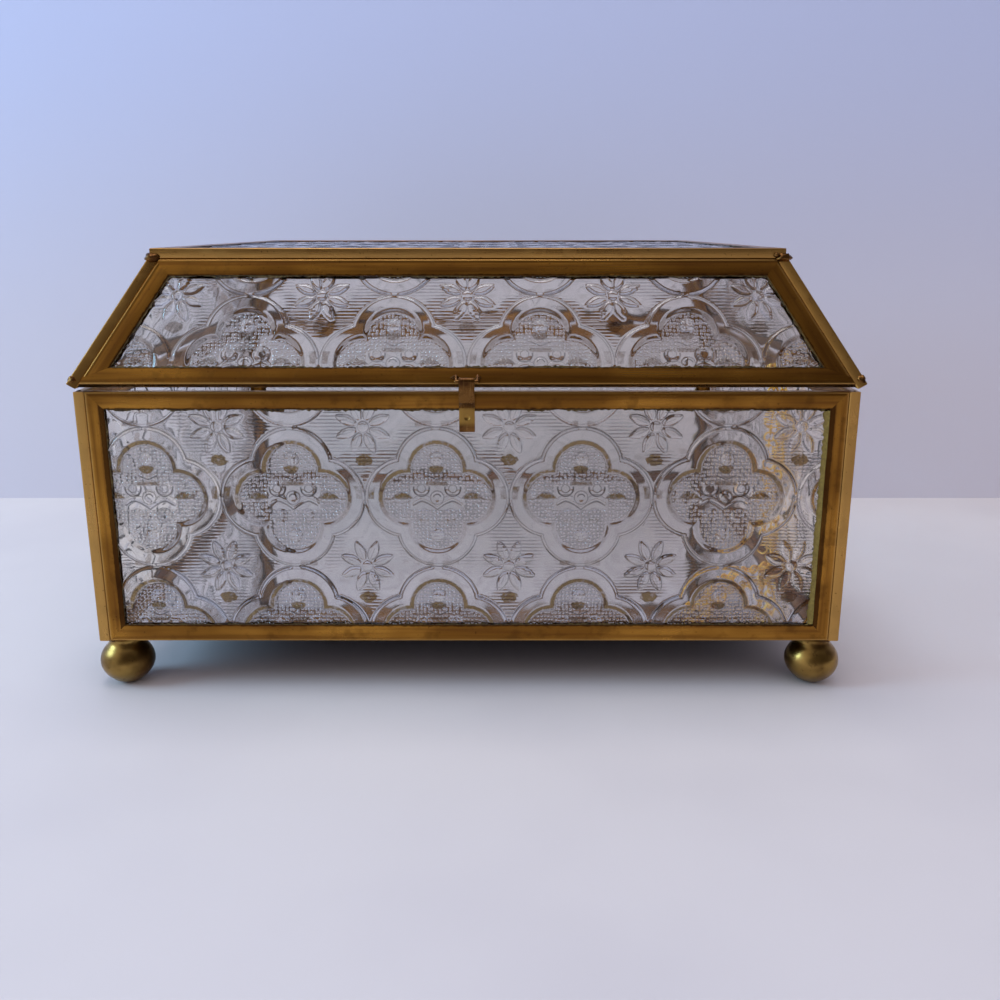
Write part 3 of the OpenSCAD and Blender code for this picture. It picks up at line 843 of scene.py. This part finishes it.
def seam(frame_name, place, outline, body, seed):
    """A crumbly line of dirt along the inside of a frame, lying on the glass."""
    half_w, height, lean = outline
    reach = CAME_W - 0.3
    hip = math.sqrt(1 + lean * lean)
    low = half_w - (reach * hip + lean * reach)
    high = half_w - (reach * hip + lean * (height - reach))
    corners = [Vector((-low, reach, 0)), Vector((low, reach, 0)),
               Vector((high, height - reach, 0)), Vector((-high, height - reach, 0))]
    bm = bmesh.new()
    for first, last in zip(corners, corners[1:] + corners[:1]):
        run = last - first
        right_stile = frame_name == "base_front" and first.x > 0 and last.x > 0
        steps = max(8, round(run.length / SEAM_STEP))
        inward = Vector((-run.y, run.x, 0)).normalized()
        outer = [bm.verts.new(first + run * (k / steps)) for k in range(steps + 1)]
        edges = [bm.edges.new(pair) for pair in zip(outer, outer[1:])]
        inner = [v for v in bmesh.ops.extrude_edge_only(bm, edges=edges)["geom"]
                 if isinstance(v, bmesh.types.BMVert)]
        for vertex in inner:
            spot = vertex.co * 0.5 + Vector((seed, 0, 0))
            crumbs = noise.noise(spot * 2.3) * 0.45 + noise.noise(spot * 0.35) * 0.5
            wide = SEAM_EXTRA if right_stile and reach < vertex.co.y else 0.0
            vertex.co += inward * (min(SEAM_MOST, max(SEAM_LEAST, SEAM_W + crumbs)) + wide)
    bmesh.ops.recalc_face_normals(bm, faces=bm.faces[:])
    bmesh.ops.translate(bm, vec=(0, 0, -SEAM_DEPTH), verts=bm.verts[:])
    slab = bmesh.ops.extrude_face_region(bm, geom=bm.faces[:])["geom"]
    raised = [v for v in slab if isinstance(v, bmesh.types.BMVert)]
    bmesh.ops.translate(bm, vec=(0, 0, SEAM_T), verts=raised)
    bmesh.ops.recalc_face_normals(bm, faces=bm.faces[:])
    bmesh.ops.transform(bm, matrix=METRES @ place, verts=bm.verts[:])
    return finished(frame_name + "_seam", bm, dirt, body, ())


for number, side in enumerate(SIDES):
    seam("base_" + side, on_wall(side), wall_outline(side), "base", 11.3 * number)
    seam("lid_" + side, on_slope(side), slope_outline(side), "lid", 5.7 + 9.1 * number)
seam("lid_top", ON_TOP, TOP_OUTLINE, "lid", 2.9)


def solder_lump(name, spot, size, body, seed):
    """A small uneven lump of solder over a corner."""
    bm = bmesh.new()
    bmesh.ops.create_icosphere(bm, subdivisions=3, radius=1.0)
    for vertex in bm.verts:
        bumpy = 0.9 + 0.3 * noise.noise(vertex.co * 1.6 + Vector((seed, 0, 0)))
        vertex.co = Vector((vertex.co.x * size[0], vertex.co.y * size[1], vertex.co.z * size[2])) * bumpy
    for face in bm.faces:
        face.smooth = True
    bmesh.ops.transform(bm, matrix=METRES @ Matrix.Translation(spot), verts=bm.verts[:])
    return finished(name, bm, solder, body, ())


for x_side, y_side, place in ((-1, -1, "front_left"), (1, -1, "front_right"),
                              (-1, 1, "back_left"), (1, 1, "back_right")):
    seed = 3.7 * x_side + 1.9 * y_side
    solder_lump(place + "_top_solder", (x_side * (TOP_W - 0.6), y_side * (TOP_D - 0.4), TOP_Z - 2.6),
                (2.3, 2.2, 1.5), "lid", seed)
    solder_lump(place + "_lid_tip_solder", (x_side * (EDGE_W - 1.4), y_side * (EDGE_D - 1.4), EDGE_Z + 0.6),
                (1.3, 1.3, 1.5), "lid", seed + 20)
    solder_lump(place + "_rim_solder",
                (x_side * (BASE_W / 2 - 1.5), y_side * (BASE_D / 2 - 1.5), RIM_Z - 0.9),
                (1.5, 1.5, 1.1), "base", seed + 40)
    solder_lump(place + "_foot_solder",
                (x_side * (BASE_W / 2 - 3.2), y_side * (BASE_D / 2 - 3.4), FOOT_H - 0.2),
                (2.6, 2.6, 1.1), "base", seed + 60)
solder_lump("clasp_solder_left", (-3.0, -EDGE_D + 0.75, EDGE_Z + 1.5), (1.2, 0.35, 0.6), "lid", 5.0)
solder_lump("clasp_solder_right", (3.0, -EDGE_D + 0.75, EDGE_Z + 1.4), (0.9, 0.35, 0.5), "lid", 6.0)
solder_lump("top_right_bead", (TOP_W - 2.6, -TOP_D - 0.35, TOP_Z - 1.9), (0.8, 0.7, 0.7), "lid", 8.0)


base_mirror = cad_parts["base_mirror"]
base_mirror.data.materials.clear()
base_mirror.data.materials.append(mirror)


# Table, wall, light and camera

# In metres: half the table's side, half the wall's sides, and the wall's foot
TABLE_HALF = 2.2
WALL_HALF_W, WALL_HALF_H = 2.0, 0.9
WALL_Y = 0.1138

# How far the wall leans back, which leaves room for the open lid
WALL_LEAN = math.radians(16)


def table_top():
    bm = bmesh.new()
    bmesh.ops.create_grid(bm, x_segments=1, y_segments=1, size=1.0,
                          matrix=Matrix.Diagonal((TABLE_HALF, TABLE_HALF, 1, 1)))
    mesh = bpy.data.meshes.new("table")
    bm.to_mesh(mesh)
    bm.free()
    f = Finish("table paint")
    place = f.node("TexCoord", output="Object")
    scuffs = f.noise(place, 9.0, 3.0).ramp(0.35, 0.65)
    tone = f.mix(scuffs, colour(202, 197, 200), colour(197, 192, 196))
    mesh.materials.append(f.show(f.node("BsdfPrincipled", {"Base Color": tone, "Roughness": 0.75})))
    table = bpy.data.objects.new("table", mesh)
    bpy.context.scene.collection.objects.link(table)


def wall():
    """The wall behind, seen from its front only, so that the box can be seen from behind too."""
    bm = bmesh.new()
    bmesh.ops.create_grid(bm, x_segments=1, y_segments=1, size=1.0,
                          matrix=Matrix.Translation((0, WALL_Y, 0))
                          @ Matrix.Rotation(math.radians(90) - WALL_LEAN, 4, "X")
                          @ Matrix.Translation((0, WALL_HALF_H, 0))
                          @ Matrix.Diagonal((WALL_HALF_W, WALL_HALF_H, 1, 1)))
    mesh = bpy.data.meshes.new("wall")
    bm.to_mesh(mesh)
    bm.free()
    f = Finish("wall paint")
    place = f.node("TexCoord", output="Object")
    height = f.node("SeparateXYZ", {"Vector": place}, output=2)
    # Painted light: the wall's colour turns bluer towards the top, for the bluer light that falls there
    tone = f.mix(height.ramp(0.04, 0.24), colour(203, 198, 210), colour(189, 195, 226))
    paint = f.node("BsdfPrincipled", {"Base Color": tone, "Roughness": 0.85})
    clear = f.node("BsdfTransparent", {})
    behind = f.node("NewGeometry", output="Backfacing")
    mesh.materials.append(f.show(f.node("MixShader", {0: behind, 1: paint, 2: clear})))
    backdrop = bpy.data.objects.new("wall", mesh)
    bpy.context.scene.collection.objects.link(backdrop)


def lamp(name, spot, target, size, watts, tint):
    data = bpy.data.lights.new(name, "AREA")
    data.shape = "DISK"
    data.size = size
    data.energy = watts
    data.color = tint
    made = bpy.data.objects.new(name, data)
    made.location = spot
    made.rotation_euler = (Vector(target) - Vector(spot)).to_track_quat("-Z", "Y").to_euler()
    made.visible_camera = False
    made.visible_transmission = False
    bpy.context.scene.collection.objects.link(made)


def room_light():
    """A pale room. Reflections see it dim in front, where whoever looks stands, and darker at the right."""
    f = Finish("room", world=True)
    way = f.node("TexCoord", output="Generated")
    up = f.node("SeparateXYZ", {"Vector": way}, output=2)
    ahead = f.node("SeparateXYZ", {"Vector": way}, output=1)
    daylight = f.mix(up.ramp(0.05, 0.65), colour(40, 33, 38), colour(255, 248, 252))
    aside = f.node("SeparateXYZ", {"Vector": way}, output=0)
    room = f.mix((ahead + up * 0.35).ramp(-0.5, 0.5), colour(84, 76, 74), colour(206, 204, 218))
    lit_side = f.mix(aside.ramp(-0.85, -0.25, 1.0, 0.0), room, colour(244, 246, 255))
    upper_left = aside.ramp(-0.42, -0.1, 1.0, 0.0) * up.ramp(0.3, 0.65) * 0.8
    hips = f.mix(upper_left, lit_side, colour(214, 208, 210))
    shown = f.mix(aside.ramp(0.12, 0.45) * 0.6, hips, colour(54, 48, 46))
    glossy = f.node("LightPath", output="Is Glossy Ray")
    camera_ray = f.node("LightPath", output="Is Camera Ray")
    through = f.node("LightPath", output="Is Transmission Ray")
    lit = f.mix(glossy, daylight, shown)
    tone = f.mix(camera_ray.most(through), lit, colour(212, 211, 226))
    f.show(f.node("Background", {"Color": tone, "Strength": 0.96}))
    bpy.context.scene.world = f.material


table_top()
wall()
lamp("window lamp", spot=(-1.0, -0.2, 0.5), target=(0, 0, 0.05), size=0.55, watts=8.4,
     tint=(0.42, 0.74, 1.0))
lamp("ceiling lamp", spot=(-0.1, 0.07, 1.0), target=(0, -0.05, 0.0), size=0.5, watts=2.8,
     tint=(1.0, 0.95, 0.95))
room_light()

# The camera that was fitted to the corners of the box in the photograph
lens = bpy.data.cameras.new("camera")
lens.lens = 36.72
lens.sensor_width = 36
lens.clip_start = 0.01
camera = bpy.data.objects.new("camera", lens)
camera.location = (0.0086, -0.3554, 0.1251)
camera.rotation_euler = (math.radians(74.96), 0, 0)
bpy.context.scene.collection.objects.link(camera)
bpy.context.scene.camera = camera
bpy.context.scene.view_settings.view_transform = "Standard"
